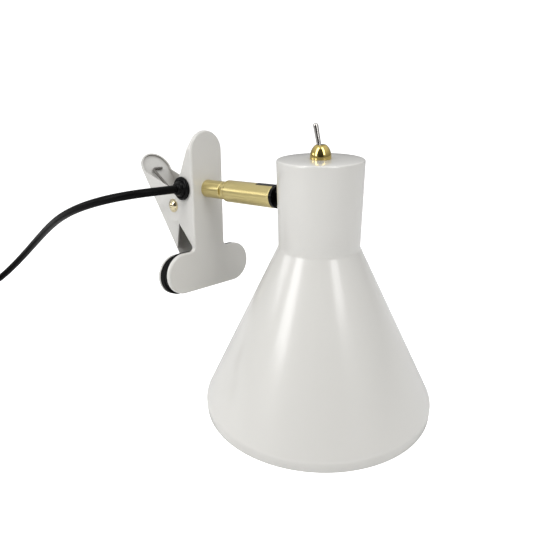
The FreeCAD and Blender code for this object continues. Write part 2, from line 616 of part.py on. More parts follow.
def spring_coil():
    """Closed coil about the pin, with the leg that bears on the front jaw."""
    turns, pitch = 8, 1.72
    rest = (SHEET + SPRING_WIRE + 0.1, 18)
    touch = tangent_point(rest, (PIN_Y, PIN_Z), SPRING_RADIUS, -1)
    turn = math.degrees(math.atan2(touch[0] - PIN_Y, PIN_Z - touch[1]))
    helix = Part.makeHelix(pitch, pitch * turns, SPRING_RADIUS)
    way = Rotation(X_AXIS, turn).multiply(Rotation(Z_AXIS, X_AXIS))
    helix.Placement = Placement(Vector(-3.4, PIN_Y, PIN_Z), way)
    start = helix.Vertexes[0].Point
    tangent = helix.Edges[0].tangentAt(helix.Edges[0].FirstParameter)
    wire = Part.Wire(Part.makeCircle(SPRING_WIRE, start, tangent))
    coil = Part.Wire(helix.Edges).makePipeShell([wire], True, False)
    end = helix.Vertexes[-1].Point
    leg = rod(SPRING_WIRE, (end.x, end.y, end.z), (end.x, *rest))
    return coil.fuse([leg, Part.makeSphere(SPRING_WIRE, end)]).removeSplitter()


def spring_leg():
    """The leg that bears on the rear handle, with its hooked end."""
    x, hook_x, end_z = -4.6, 3.2, 80.0
    y = -SHEET - SPRING_WIRE - 0.1
    pin = to_rear(PIN_Y, PIN_Z)
    low = (x, pin[0] + 3.0, pin[1] + 4.2)
    leg = rod(SPRING_WIRE, low, (x, y, end_z))
    hook = rod(SPRING_WIRE, (x, y, end_z), (hook_x, y, end_z + 1.2))
    corners = (low, (x, y, end_z), (hook_x, y, end_z + 1.2))
    knees = [Part.makeSphere(SPRING_WIRE, Vector(*corner)) for corner in corners]
    wire = leg.fuse([hook] + knees).removeSplitter()
    wire.Placement = REAR_POSE
    return wire


def cord_grommet():
    """Rubber bush in the front jaw's side: outer flange, waist, inner flange and a short nose."""
    side = -HANDLE_HALF

    def disc(radius, start, end):
        return rod(radius, (start, GROMMET_Y, GROMMET_Z), (end, GROMMET_Y, GROMMET_Z))

    outer = disc(7.9, side - 2.6, side)
    outer = softened(outer, 1.2, lambda e: isinstance(e.Curve, Part.Circle) and e.BoundBox.XMax < side - 2)
    nose = Part.makeCone(6.4, 3.9, 4.2, Vector(side - 2.4, GROMMET_Y, GROMMET_Z), Vector(-1, 0, 0))
    nose = softened(nose, 0.8, lambda e: isinstance(e.Curve, Part.Circle) and e.BoundBox.XMax < side - 6)
    waist = disc(5.5, side, side + SHEET)
    inner = disc(6.6, side + SHEET, side + SHEET + 1.0)
    solid = outer.fuse([nose, waist, inner]).removeSplitter()
    return solid.cut(disc(CORD_RADIUS, side - 10, side + 10))


def inner_lead():
    """The stretch of cord between the grommet and the hollow post."""
    start_x, bend = -HANDLE_HALF - 6.4, 6.6
    path = [
        line((start_x, GROMMET_Y, GROMMET_Z), (-bend, GROMMET_Y, GROMMET_Z)),
        arc((-bend, GROMMET_Y, GROMMET_Z),
            (-bend * (1 - math.sqrt(0.5)), GROMMET_Y - bend * (1 - math.sqrt(0.5)), GROMMET_Z),
            (0, GROMMET_Y - bend, GROMMET_Z)),
        line((0, GROMMET_Y - bend, GROMMET_Z), (0, -3.6, GROMMET_Z)),
    ]
    wire = Part.Wire([edge.toShape() for edge in path])
    profile = Part.Wire(Part.makeCircle(2.5, Vector(start_x, GROMMET_Y, GROMMET_Z), X_AXIS))
    lead = wire.makePipeShell([profile], True, False)
    jacket = rod(CORD_RADIUS, (start_x, GROMMET_Y, GROMMET_Z), (-HANDLE_HALF + 3.4, GROMMET_Y, GROMMET_Z))
    return lead.fuse(jacket).removeSplitter()


save("pivot_pin", pivot_pin(), CLIP_POSE)
for name, side in (("pin_washer_a", -1), ("pin_washer_b", 1)):
    washer = ring(4.6, PIN_RADIUS, (side * HANDLE_HALF, PIN_Y, PIN_Z), (side * WASHER_OUT, PIN_Y, PIN_Z))
    save(name, washer, CLIP_POSE)
save("spring_coil", spring_coil(), CLIP_POSE)
save("spring_leg", spring_leg(), CLIP_POSE)
save("cord_grommet", cord_grommet(), CLIP_POSE)
save("inner_lead", inner_lead(), CLIP_POSE)
nut = hexagon(14, (0, SHEET + 0.6, 0), (0, SHEET + 3.0, 0)).cut(along(5.0, 0, 8))
save("post_nut", nut, CLIP_POSE)
save("post_washer", along(8.0, SHEET, SHEET + 0.6).cut(along(5.0, 0, 8)), CLIP_POSE)

# ---------------------------------------------------------------- cord, coil, tie and plug

cord, cord_length, cord_radii = tube(CORD_ROUTE, CORD_RADIUS)
save("cord_tube", cord)
print("cord radii in diameters:", [round(r / (2 * CORD_RADIUS), 1) for r in cord_radii])
print("cord length", round(cord_length, 1), "volume ratio",
      round(cord.Volume / (math.pi * CORD_RADIUS ** 2 * cord_length), 4))
tail, tail_length, tail_radii = tube(TAIL_ROUTE, CORD_RADIUS)
save("cord_tail", tail)
print("tail length", round(tail_length, 1), "radii in diameters:",
      [round(r / (2 * CORD_RADIUS), 1) for r in tail_radii])


def coil_ring(shrink, low, high):
    """The coil's outer shape: a flat ring with rounded edges."""
    near, far = COIL_MEAN - COIL_HALF_WIDTH + shrink, COIL_MEAN + COIL_HALF_WIDTH - shrink
    band = turned([(near, low), (far, low), (far, high), (near, high)])
    return softened(band, 2.6, lambda e: isinstance(e.Curve, Part.Circle))


def cord_tie():
    """A strap about the bundle of turns, flat on the floor below it."""
    near, far = COIL_MEAN - COIL_HALF_WIDTH, COIL_MEAN + COIL_HALF_WIDTH
    outside = block((near - TIE_SHEET, -TIE_WIDTH / 2, 0),
                    (far + TIE_SHEET, TIE_WIDTH / 2, COIL_HEIGHT + TIE_SHEET))
    outside = softened(outside, 3.0, lambda e: abs(e.Length - TIE_WIDTH) < 0.01)
    inside = block((near, -TIE_WIDTH, TIE_SHEET), (far, TIE_WIDTH, COIL_HEIGHT))
    inside = softened(inside, 2.5, lambda e: abs(e.Length - 2 * TIE_WIDTH) < 0.01)
    return outside.cut(inside)


tie = cord_tie()
tie.Placement = Placement(Vector(*COIL_CENTRE, 0), Rotation(Z_AXIS, TIE_ANGLE))
coil = coil_ring(0, 0, COIL_HEIGHT)
coil.Placement = Placement(Vector(*COIL_CENTRE, 0), Rotation())
save("cord_tie", tie)
save("cord_coil", coil.cut(tie))

PLUG_START = 18.0
PLUG_LENGTH = 35.0
PLUG_NARROW = 9.0
PLUG_WIDE = 17.6
PIN_SPREAD = 9.3
PLUG_PIN_RADIUS = 2.0
PLUG_PIN_LENGTH = 19.0
PLUG_POSE = Placement(Vector(*TAIL_ROUTE[-1]), Rotation(Z_AXIS, 180))


def plug_body():
    """Flat two-pin plug, with its cord end at the origin and its pins along +Y."""
    end = PLUG_START + PLUG_LENGTH
    h = PLUG_HALF_HEIGHT
    outline = [(-PLUG_NARROW, PLUG_START), (PLUG_NARROW, PLUG_START), (PLUG_WIDE, PLUG_START + 12),
               (PLUG_WIDE, end - 8), (13.0, end), (-13.0, end), (-PLUG_WIDE, end - 8),
               (-PLUG_WIDE, PLUG_START + 12)]
    wire = Part.makePolygon([Vector(x, y, -h) for x, y in outline + outline[:1]])
    body = Part.Face(wire).extrude(Vector(0, 0, 2 * h))
    body = softened(body, 3.0, lambda e: e.BoundBox.ZLength > 2 * h - 0.1)
    return softened(body, 2.0, lambda e: e.BoundBox.ZLength < 0.1)


def plug_relief():
    sleeve = Part.makeCone(3.7, 5.4, PLUG_START, Vector(0, 0, 0), Y_AXIS)
    cuts = []
    for i in range(4):
        y = 3.0 + 3.6 * i
        cuts.append(along(8, y, y + 1.2).cut(along(3.35, y - 1, y + 2)))
    return sleeve.cut(cuts)


save("plug_body", plug_body(), PLUG_POSE)
save("plug_relief", plug_relief(), PLUG_POSE)
for name, side in (("plug_pin_a", -1), ("plug_pin_b", 1)):
    start = Vector(side * PIN_SPREAD, PLUG_START + PLUG_LENGTH, 0)
    pin = Part.makeCylinder(PLUG_PIN_RADIUS, PLUG_PIN_LENGTH, start, Y_AXIS)
    pin = softened(pin, 1.2, lambda e: isinstance(e.Curve, Part.Circle) and e.BoundBox.YMin > start.y + 1)
    save(name, pin, PLUG_POSE)
exit_point = CLIP_POSE.multVec(Vector(-HANDLE_HALF - 6.4, GROMMET_Y, GROMMET_Z))
exit_way = CLIP_POSE.Rotation.multVec(Vector(-1, 0, 0))
print("cord leaves at", exit_point, "towards", exit_way)
print("arm axis", ARM_POSE.Rotation.multVec(Y_AXIS), "pin at", CLIP_POSE.multVec(Vector(0, PIN_Y, PIN_Z)))
print("pin axis", CLIP_POSE.Rotation.multVec(X_AXIS))
print("jaw mount", CLIP_POSE.multVec(Vector(0, CLIP_DEPTH / 2, FOOT_CENTRE_Z)),
      "axis", CLIP_POSE.Rotation.multVec(Z_AXIS * -1))
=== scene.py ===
# %% [markdown]
# # A clip-on reading lamp
#
# The lamp has a spun metal shade, a short brass arm that swivels and tilts, and a sprung clip with a mains
# cord. Its working parts come from CAD as a fixed frame, in metres. Blender gives them their finishes, and
# replaces the ones whose shape deserves more care. Nothing here moves or resizes a CAD part.

# %% Load the frame
import json
import math

import bmesh
import bpy
from mathutils import Matrix, Vector


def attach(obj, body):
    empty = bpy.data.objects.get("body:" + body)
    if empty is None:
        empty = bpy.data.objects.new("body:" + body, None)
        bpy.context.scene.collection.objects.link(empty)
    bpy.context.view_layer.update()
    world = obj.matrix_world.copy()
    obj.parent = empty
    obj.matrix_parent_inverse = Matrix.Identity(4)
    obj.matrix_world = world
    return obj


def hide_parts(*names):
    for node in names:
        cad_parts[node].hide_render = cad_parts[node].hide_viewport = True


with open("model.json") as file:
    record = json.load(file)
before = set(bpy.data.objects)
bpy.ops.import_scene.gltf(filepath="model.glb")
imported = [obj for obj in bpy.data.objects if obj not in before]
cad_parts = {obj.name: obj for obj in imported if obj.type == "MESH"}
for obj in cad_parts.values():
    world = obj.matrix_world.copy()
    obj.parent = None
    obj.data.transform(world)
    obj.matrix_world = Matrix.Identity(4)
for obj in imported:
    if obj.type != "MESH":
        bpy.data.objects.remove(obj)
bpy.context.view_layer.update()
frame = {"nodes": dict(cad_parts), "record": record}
nodes = frame["nodes"]

# %% [markdown]
# ## Where things are
#
# The shade stands on its rim, and its axis is Z. The arm starts at the tilt pivot, beside the neck, and
# droops three degrees. The clip sits at the arm's far end, turned a little about it. Two matrices hold
# those places, so a piece can be made upright at the origin and then put where it belongs.

# %% Places on the lamp
TILT_PIVOT = Vector((0, 0.0362, 0.1269))
ARM_LENGTH = 0.061
ARM_DROOP, CLIP_TURN = math.radians(-3.0), math.radians(3.9)
ARM_PLACE = Matrix.Translation(TILT_PIVOT) @ Matrix.Rotation(ARM_DROOP, 4, "X")
CLIP_PLACE = ARM_PLACE @ Matrix.Translation((0, ARM_LENGTH, 0)) @ Matrix.Rotation(CLIP_TURN, 4, "Y")
ARM_AXIS = (ARM_PLACE.to_3x3() @ Vector((0, 1, 0))).normalized()
print("arm axis:", [round(v, 4) for v in ARM_AXIS])

# %% [markdown]
# ## The camera
#
# The camera's place is a point followed by three turns: a heading about Z, a lean about X, and a slight
# roll about its own line of sight. The sensor's long side is 36 mm and the focal length 35.7 mm, and it
# stands about a third of a metre from the lamp, so the near parts look clearly larger than the far ones.

# %% Make the camera
FOCAL_LENGTH, SENSOR_SIDE = 35.667, 36.0
CAMERA_POINT = (-0.23225, -0.18029, 0.19833)
HEADING, LEAN, ROLL = math.radians(-46.17), math.radians(69.76), math.radians(-1.03)

camera_data = bpy.data.cameras.new("lamp_camera")
camera_data.lens = FOCAL_LENGTH
camera_data.sensor_width = SENSOR_SIDE
camera_data.clip_start = 0.01
camera_data.clip_end = 50
camera = bpy.data.objects.new("lamp_camera", camera_data)
bpy.context.scene.collection.objects.link(camera)
camera.matrix_world = (
    Matrix.Translation(CAMERA_POINT)
    @ Matrix.Rotation(HEADING, 4, "Z")
    @ Matrix.Rotation(LEAN, 4, "X")
    @ Matrix.Rotation(ROLL, 4, "Z")
)
bpy.context.scene.camera = camera
print("camera at", tuple(round(v, 4) for v in camera.location))

# %% [markdown]
# ## The mains cord
#
# A cord is a length of something flexible, so it is one smooth curve. It leaves the clip's bush, sags down
# to the table, and its spare length is wound into a flat coil of two layers. A NURBS spline is used because
# it bends smoothly past its control points, as a real lead does, where a polyline would look like bent
# wire. First come the listed points, then the turns of the coil, which a loop works out.

# %% Points along the cord
HALF_CORD = 0.0028
free_run = [
    (-0.0199, 0.1077, 0.1250), (-0.0349, 0.1078, 0.1260), (-0.0504, 0.1146, 0.1255),
    (-0.0621, 0.1296, 0.1218), (-0.0681, 0.1518, 0.1145), (-0.0681, 0.1788, 0.1040),
    (-0.0645, 0.2085, 0.0910), (-0.0615, 0.2395, 0.0750), (-0.0625, 0.2685, 0.0565),
    (-0.0675, 0.2935, 0.0380), (-0.0760, 0.3140, 0.0220), (-0.0860, 0.3315, 0.0105),
    (-0.0970, 0.3465, 0.0046), (-0.1090, 0.3597, 0.0034),
]
tail_run = [
    (-0.1758, 0.3212, 0.0090), (-0.1729, 0.3040, 0.0076), (-0.1713, 0.2860, 0.0063), (-0.1710, 0.2700, 0.0069),
]

coil_centre = Vector((-0.1354, 0.3283, 0))
OUTER_TURN, INNER_TURN = 0.0413, 0.0210
FLOOR_LAYER, TOP_LAYER = 0.0034, 0.0090
FIRST_ANGLE, LAST_ANGLE = 50, 190 + 7 * 360
POINTS_PER_TURN = 24
WINDING, STEP_UP = 0.48, 0.04  # shares of the coil: winding in or out, and climbing a layer

coil_run = []
step = 360 / POINTS_PER_TURN
count = round((LAST_ANGLE - FIRST_ANGLE) / step)
for i in range(1, count):
    share = i / count
    inward = min(share / WINDING, 1.0)
    outward = max((share - WINDING - STEP_UP) / WINDING, 0.0)
    climb = min(max((share - WINDING) / STEP_UP, 0.0), 1.0)
    radius = OUTER_TURN - (OUTER_TURN - INNER_TURN) * (inward - outward)
    angle = math.radians(FIRST_ANGLE + (LAST_ANGLE - FIRST_ANGLE) * share)
    height = FLOOR_LAYER + (TOP_LAYER - FLOOR_LAYER) * climb
    across, along = radius * math.cos(angle), radius * math.sin(angle)
    coil_run.append((coil_centre.x + across, coil_centre.y + along, height))
print("coil points:", len(coil_run), "turns:", round((LAST_ANGLE - FIRST_ANGLE) / 360, 2))

# %% A round wire along a list of points
def round_wire(name, points, radius, bevel_steps, curve_steps):
    """A NURBS curve with a round section. Blender measures a curve's box with the points' own radius, so the
    section's size is given there, and the bevel depth is 1."""
    curve = bpy.data.curves.new(name, "CURVE")
    curve.dimensions = "3D"
    curve.bevel_depth = 1.0
    curve.bevel_resolution = bevel_steps
    curve.use_fill_caps = True
    spline = curve.splines.new("NURBS")
    spline.points.add(len(points) - 1)
    for point, place in zip(spline.points, points):
        point.co = (*place, 1)
        point.radius = radius
    spline.order_u = 3
    spline.use_endpoint_u = True
    spline.resolution_u = curve_steps
    piece = bpy.data.objects.new(name, curve)
    bpy.context.scene.collection.objects.link(piece)
    return piece


# %% Make the cord
mains_cord = round_wire("mains_cord", free_run + coil_run + tail_run, HALF_CORD, 5, 6)
bpy.context.view_layer.update()
print("cord length:", round(mains_cord.data.splines[0].calc_length(), 3), "m")

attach(mains_cord, "clip")
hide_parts("cord_tube", "cord_coil", "cord_tail")

# %% [markdown]
# ## Small tools for working by hand
#
# Blender's operators act on whatever is selected. These helpers do what the mouse would do: pick one
# object, pick edges by where they are, put a finished piece in its place, and cut one piece with another.

# %% Selection helpers
def only(piece):
    """Makes the piece the one selected object."""
    bpy.ops.object.select_all(action="DESELECT")
    piece.select_set(True)
    bpy.context.view_layer.objects.active = piece


def edit(piece):
    only(piece)
    bpy.ops.object.mode_set(mode="EDIT")


def done():
    bpy.ops.object.mode_set(mode="OBJECT")


def pick_edges(piece, wanted):
    """In edit mode, selects the edges whose two ends pass the test. Says how many there were."""
    bpy.ops.mesh.select_mode(type="EDGE")
    bpy.ops.mesh.select_all(action="DESELECT")
    mesh = bmesh.from_edit_mesh(piece.data)
    chosen = [edge for edge in mesh.edges if wanted(edge.verts[0].co, edge.verts[1].co)]
    for edge in chosen:
        edge.select_set(True)
    bmesh.update_edit_mesh(piece.data)
    return len(chosen)


# %% Placing and cutting helpers
def put(piece, place):
    """Moves a piece from the origin to its place, and leaves that place in its mesh."""
    piece.matrix_world = place
    only(piece)
    bpy.ops.object.transform_apply(location=True, rotation=True, scale=True)


def apply_modifier(piece, kind, **values):
    only(piece)
    modifier = piece.modifiers.new(kind.lower(), kind)
    for key, value in values.items():
        setattr(modifier, key, value)
    bpy.ops.object.modifier_apply(modifier=modifier.name)


def cut(piece, cutter):
    apply_modifier(piece, "BOOLEAN", operation="DIFFERENCE", solver="EXACT", object=cutter)
    bpy.data.objects.remove(cutter)


def smooth(piece, degrees):
    only(piece)
    bpy.ops.object.shade_smooth_by_angle(angle=math.radians(degrees))


def rod(name, radius, length, place, sides=48):
    """A cylinder about the place's own Z, centred on it."""
    bpy.ops.object.select_all(action="DESELECT")
    bpy.ops.mesh.primitive_cylinder_add(vertices=sides, radius=radius, depth=length)
    piece = bpy.context.object
    piece.name = name
    put(piece, place)
    return piece


# %% [markdown]
# ## Turning a piece, as on a lathe
#
# A shade, a dome nut and a rubber bush are all round about one axis. The way to make such a piece by hand
# is to draw half of its section, one point after the other, by extruding a single vertex, and then to spin
# the section round the axis. The doubled seam is merged, and the normals are pointed outwards.

# %% The lathe
def lathe(name, section, steps):
    """Spins a closed section of (radius, height) points about Z."""
    bpy.ops.object.select_all(action="DESELECT")
    bpy.ops.mesh.primitive_plane_add(size=0.001)
    piece = bpy.context.object
    piece.name = name
    bpy.ops.object.mode_set(mode="EDIT")
    bpy.ops.mesh.select_mode(type="VERT")
    bpy.ops.mesh.select_all(action="SELECT")
    bpy.ops.mesh.merge(type="CENTER")
    bpy.ops.transform.translate(value=(section[0][0], 0, section[0][1]))
    for here, there in zip(section, section[1:] + section[:1]):
        move = (there[0] - here[0], 0, there[1] - here[1])
        bpy.ops.mesh.extrude_region_move(TRANSFORM_OT_translate={"value": move})
    bpy.ops.mesh.select_all(action="SELECT")
    bpy.ops.mesh.spin(steps=steps, angle=2 * math.pi, center=(0, 0, 0), axis=(0, 0, 1))
    bpy.ops.mesh.select_all(action="SELECT")
    bpy.ops.mesh.remove_doubles(threshold=1e-6)
    bpy.ops.mesh.normals_make_consistent(inside=False)
    done()
    return piece


def round_ring(piece, radius, height, width, segments):
    """Bevels the ring of edges at that radius and height."""
    def on_ring(a, b):
        return all(abs(math.hypot(p.x, p.y) - radius) < 1e-5 and abs(p.z - height) < 1e-5 for p in (a, b))

    edit(piece)
    found = pick_edges(piece, on_ring)
    bpy.ops.mesh.bevel(offset=width, segments=segments, affect="EDGES")
    done()
    print(f"{piece.name}: rounded a ring of {found} edges by {1000 * width:.1f} mm")


# %% [markdown]
# ## The shade
#
# The real shade is one sheet of aluminium, spun over a former: a straight neck, a cone, and a short upright
# lip that stiffens the rim. It could be a cone primitive with Solidify, but the section shows every crease
# and the wall's thickness, so it is turned from its section. The creases are then bevelled, because a spun
# sheet never has a sharp fold. The neck's rows of vertices stand close together, so that the hole for the
# arm's stud, cut with a Boolean, leaves the shading clean round it.

# %% Turn the shade
WALL = 0.0009
SHADE_TOP = 0.1529
RIM, LIP = 0.0700, 0.0703
LIP_HEIGHT, INNER_LIP_HEIGHT = 0.0063, 0.0061
NECK_FOOT, NECK_TOP, NECK_WIDENING = 0.0237, 0.0245, 0.0008
NECK_FOOT_HEIGHT, NECK_HEIGHT, NECK_ROWS = 0.1029, 0.0500, 12
INNER_DROP = 0.0002
TOP_RING, SWITCH_HOLE = 0.0120, 0.0032
STUD_HOLE, STUD_CUT = 0.0031, 0.008

neck_rows = []
for k in range(NECK_ROWS + 1):
    radius, height = NECK_FOOT + NECK_WIDENING * k / NECK_ROWS, NECK_FOOT_HEIGHT + NECK_HEIGHT * k / NECK_ROWS
    neck_rows.append((radius, height))
neck_inside = [(r - WALL, z - (WALL if k == NECK_ROWS else INNER_DROP)) for k, (r, z) in enumerate(neck_rows)]
shade_section = (
    [(RIM, 0.0), (LIP, LIP_HEIGHT)] + neck_rows + [(TOP_RING, SHADE_TOP), (SWITCH_HOLE, SHADE_TOP)]
    + [(SWITCH_HOLE, SHADE_TOP - WALL), (TOP_RING, SHADE_TOP - WALL)] + neck_inside[::-1]
    + [(LIP - WALL, INNER_LIP_HEIGHT), (RIM - WALL, 0.0)]
)
lamp_shade = lathe("lamp_shade", shade_section, 144)
for radius, height, width, segments in (
    (LIP, LIP_HEIGHT, 0.0010, 4), (LIP - WALL, INNER_LIP_HEIGHT, 0.0008, 3),
    (NECK_FOOT, NECK_FOOT_HEIGHT, 0.0012, 4), (NECK_TOP, SHADE_TOP, 0.0011, 4),
    (RIM, 0.0, 0.0004, 2), (RIM - WALL, 0.0, 0.0004, 2),
):
    round_ring(lamp_shade, radius, height, width, segments)
along_y = Matrix.Rotation(math.radians(90), 4, "X")
stud_place = Matrix.Translation((0, NECK_FOOT, TILT_PIVOT.z)) @ along_y
cut(lamp_shade, rod("stud_hole", STUD_HOLE, STUD_CUT, stud_place))
smooth(lamp_shade, 40)
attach(lamp_shade, "shade")
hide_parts("shade_shell")
print("shade faces:", len(lamp_shade.data.polygons))

# %% [markdown]
# ## The dome nut and the lever
#
# A brass dome screws down over the toggle switch. It is half an egg on a short upright skirt, with a round
# mouth for the lever. The lever is a plain bat: a little thicker at its tip, which is a half ball. Both are
# turned. The lever is made upright at its own pivot, and then leaned over into its rest place.

# %% Turn the dome
DOME_BALL, DOME_MOUTH, MOUTH_EDGE = 0.00595, 0.00275, 0.0029
DOME_SKIRT, DOME_HEIGHT, DOME_ROWS = 0.0010, 0.00768, 14
DOME_BORE, BORE_DEPTH = 0.0030, 0.0050
FOOT_CHAMFER, MOUTH_CHAMFER = 0.0002, 0.0001

skirt_top = SHADE_TOP + DOME_SKIRT
mouth_height = SHADE_TOP + DOME_HEIGHT
bore_top = SHADE_TOP + BORE_DEPTH
mouth_angle = math.acos(MOUTH_EDGE / DOME_BALL)
dome_rise = (mouth_height - skirt_top) / math.sin(mouth_angle)
dome_section = [
    (DOME_BORE, SHADE_TOP), (DOME_BALL - FOOT_CHAMFER, SHADE_TOP), (DOME_BALL, SHADE_TOP + FOOT_CHAMFER),
]
for k in range(DOME_ROWS + 1):
    angle = mouth_angle * k / DOME_ROWS
    dome_section.append((DOME_BALL * math.cos(angle), skirt_top + dome_rise * math.sin(angle)))
dome_section += [(DOME_MOUTH, mouth_height - MOUTH_CHAMFER), (DOME_MOUTH, bore_top), (DOME_BORE, bore_top)]
switch_dome = lathe("switch_dome", dome_section, 64)
smooth(switch_dome, 35)
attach(switch_dome, "shade")
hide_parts("dome_cap")
print("dome faces:", len(switch_dome.data.polygons))

# %% Turn the lever
LEVER_REACH, TIP_RADIUS, TIP_ROWS = 0.0158, 0.00145, 8
LEVER_PIVOT, LEVER_LEAN = 0.0022, math.radians(-13.7)
lever_section = [
    (0.0, -0.00155), (0.0008, -0.00133), (0.00135, -0.00076), (0.00155, 0.0), (0.00135, 0.00076),
    (0.00122, 0.0014), (0.00122, 0.0040), (0.00126, 0.0070), (0.00132, 0.0105), (0.00139, 0.0140),
]
for k in range(TIP_ROWS + 1):
    angle = math.radians(90 * k / TIP_ROWS)
    lever_section.append((TIP_RADIUS * math.cos(angle), LEVER_REACH + TIP_RADIUS * math.sin(angle)))
lever_section[-1] = (0.0, LEVER_REACH + TIP_RADIUS)
toggle_bat = lathe("toggle_bat", lever_section, 40)
put(toggle_bat, Matrix.Translation((0, 0, SHADE_TOP + LEVER_PIVOT)) @ Matrix.Rotation(LEVER_LEAN, 4, "X"))
smooth(toggle_bat, 50)
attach(toggle_bat, "toggle")
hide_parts("toggle_lever")
print("lever faces:", len(toggle_bat.data.polygons))

# %% [markdown]
# ## The rubber bush
#
# The cord goes through the clip's side in a moulded rubber bush: a fat flange outside, a waist in the
# sheet's hole, a smaller flange inside, and a collar that hugs the cord. It is turned about Z, and then
# laid over onto its side, so that its outer end looks along the clip's own minus X.

# %% Turn the bush
BUSH_SEAT = (-0.0136, 0.0105, 0.0005)
bush_section = [(r / 1000, h / 1000) for r, h in (
    (2.8, -2.1), (6.6, -2.1), (6.6, -1.1), (5.5, -1.1), (5.5, 0.0), (7.6, 0.0), (7.95, 0.5), (8.0, 1.2),
    (7.75, 1.9), (7.2, 2.4), (6.5, 2.6), (6.2, 2.45), (6.0, 2.2), (5.7, 2.2), (5.5, 2.5), (5.35, 3.2),
    (4.9, 3.7), (4.5, 4.0), (4.3, 4.8), (4.1, 5.8), (3.7, 6.3), (3.2, 6.5), (2.8, 6.5),
)]
cord_bush = lathe("cord_bush", bush_section, 64)
put(cord_bush, CLIP_PLACE @ Matrix.Translation(BUSH_SEAT) @ Matrix.Rotation(math.radians(-90), 4, "Y"))
smooth(cord_bush, 38)
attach(cord_bush, "clip")
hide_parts("cord_grommet")
print("bush faces:", len(cord_bush.data.polygons))

# %% [markdown]
# ## The spring's hooked leg
#
# One end of the spring lies along the inside of the rear handle and turns across it in a hook. It is drawn
# wire, so a curve with a round bevel is the natural way to make it: its control points round the bends, as
# a bending tool does. It is made a mesh at once, because a bare curve can't be given its place as neatly.

# %% Bend the wire
HINGE_POINT, REAR_LEAN = (0, 0.01344, -0.0573), math.radians(-35)
REAR_PLACE = CLIP_PLACE @ Matrix.Translation(HINGE_POINT) @ Matrix.Rotation(REAR_LEAN, 4, "X")
HALF_WIRE = 0.0010
wire_points = [
    (-0.0053, -0.0165, 0.0458), (-0.0046, -0.0100, 0.0632), (-0.0039, -0.0030, 0.0785),
    (-0.0038, -0.0022, 0.0806), (-0.0018, -0.0022, 0.0813), (0.0014, -0.0022, 0.0814),
    (0.0042, -0.0022, 0.0813),
]
spring_hook = round_wire("spring_hook", wire_points, HALF_WIRE, 4, 8)
only(spring_hook)
bpy.ops.object.convert(target="MESH")
put(spring_hook, REAR_PLACE)
smooth(spring_hook, 50)
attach(spring_hook, "rear_grip")
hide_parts("spring_leg")
print("wire faces:", len(spring_hook.data.polygons))

# %% [markdown]
# ## Shared shader groups
#
# Some effects turn up in many finishes, so each is a node group with its own inputs. `fine_grain` makes a
# small even bump, for orange peel in paint or the skin of a moulding. `handling_film` varies the roughness,
# as fingers and polishing do. `tone_drift` changes a colour slightly from place to place. `lathe_rings`
# cuts fine circles round an axis. `painted_edge_highlight` finds edges, where a lighter colour is painted in,
# mostly as a painted highlight. `painted_recess_shade` finds a piece's own hollows by ambient occlusion, where
# a darker colour is painted in as painted shade.

# %% Node helpers
def group_tree(name, inputs, outputs):
    """Starts a shader group. Inputs are (name, kind, value), and outputs (name, kind)."""
    tree = bpy.data.node_groups.new(name, "ShaderNodeTree")
    for label, kind, value in inputs:
        socket = tree.interface.new_socket(label, in_out="INPUT", socket_type="NodeSocket" + kind)
        socket.default_value = value
    for label, kind in outputs:
        tree.interface.new_socket(label, in_out="OUTPUT", socket_type="NodeSocket" + kind)
    return tree, tree.nodes.new("NodeGroupInput"), tree.nodes.new("NodeGroupOutput")


def node(tree, kind, **values):
    """Adds a shader node, and sets its properties, or its inputs where there is no such property."""
    made = tree.nodes.new("ShaderNode" + kind)
    for key, value in values.items():
        if hasattr(made, key):
            setattr(made, key, value)
        else:
            made.inputs[key].default_value = value
    return made


def maths(tree, operation, a, b):
    """A Math node on two values, each a socket or a number."""
    made = node(tree, "Math", operation=operation)
    for socket, value in zip(made.inputs, (a, b)):
        if isinstance(value, (int, float)):
            socket.default_value = value
        else:
            tree.links.new(value, socket)
    return made.outputs[0]


# %% The grain group
grain_tree, into, out = group_tree(
    "fine_grain", [("Size", "Float", 900.0), ("Strength", "Float", 0.1)], [("Normal", "Vector")])
place = node(grain_tree, "TexCoord")
noise = node(grain_tree, "TexNoise", Detail=3.0, Roughness=0.6)
bump = node(grain_tree, "Bump", Distance=0.0002)
grain_tree.links.new(place.outputs["Object"], noise.inputs["Vector"])
grain_tree.links.new(into.outputs["Size"], noise.inputs["Scale"])
grain_tree.links.new(noise.outputs["Fac"], bump.inputs["Height"])
grain_tree.links.new(into.outputs["Strength"], bump.inputs["Strength"])
grain_tree.links.new(bump.outputs["Normal"], out.inputs["Normal"])

# %% The handling group
film_tree, into, out = group_tree(
    "handling_film", [("Smooth", "Float", 0.3), ("Rough", "Float", 0.4), ("Size", "Float", 30.0)],
    [("Roughness", "Float")])
place = node(film_tree, "TexCoord")
broad = node(film_tree, "TexNoise", Detail=4.0, Roughness=0.55, Distortion=0.4)
spread = node(film_tree, "MapRange")
spread.inputs["From Min"].default_value = 0.3
spread.inputs["From Max"].default_value = 0.7
film_tree.links.new(place.outputs["Object"], broad.inputs["Vector"])
film_tree.links.new(into.outputs["Size"], broad.inputs["Scale"])
film_tree.links.new(broad.outputs["Fac"], spread.inputs["Value"])
film_tree.links.new(into.outputs["Smooth"], spread.inputs["To Min"])
film_tree.links.new(into.outputs["Rough"], spread.inputs["To Max"])
film_tree.links.new(spread.outputs["Result"], out.inputs["Roughness"])

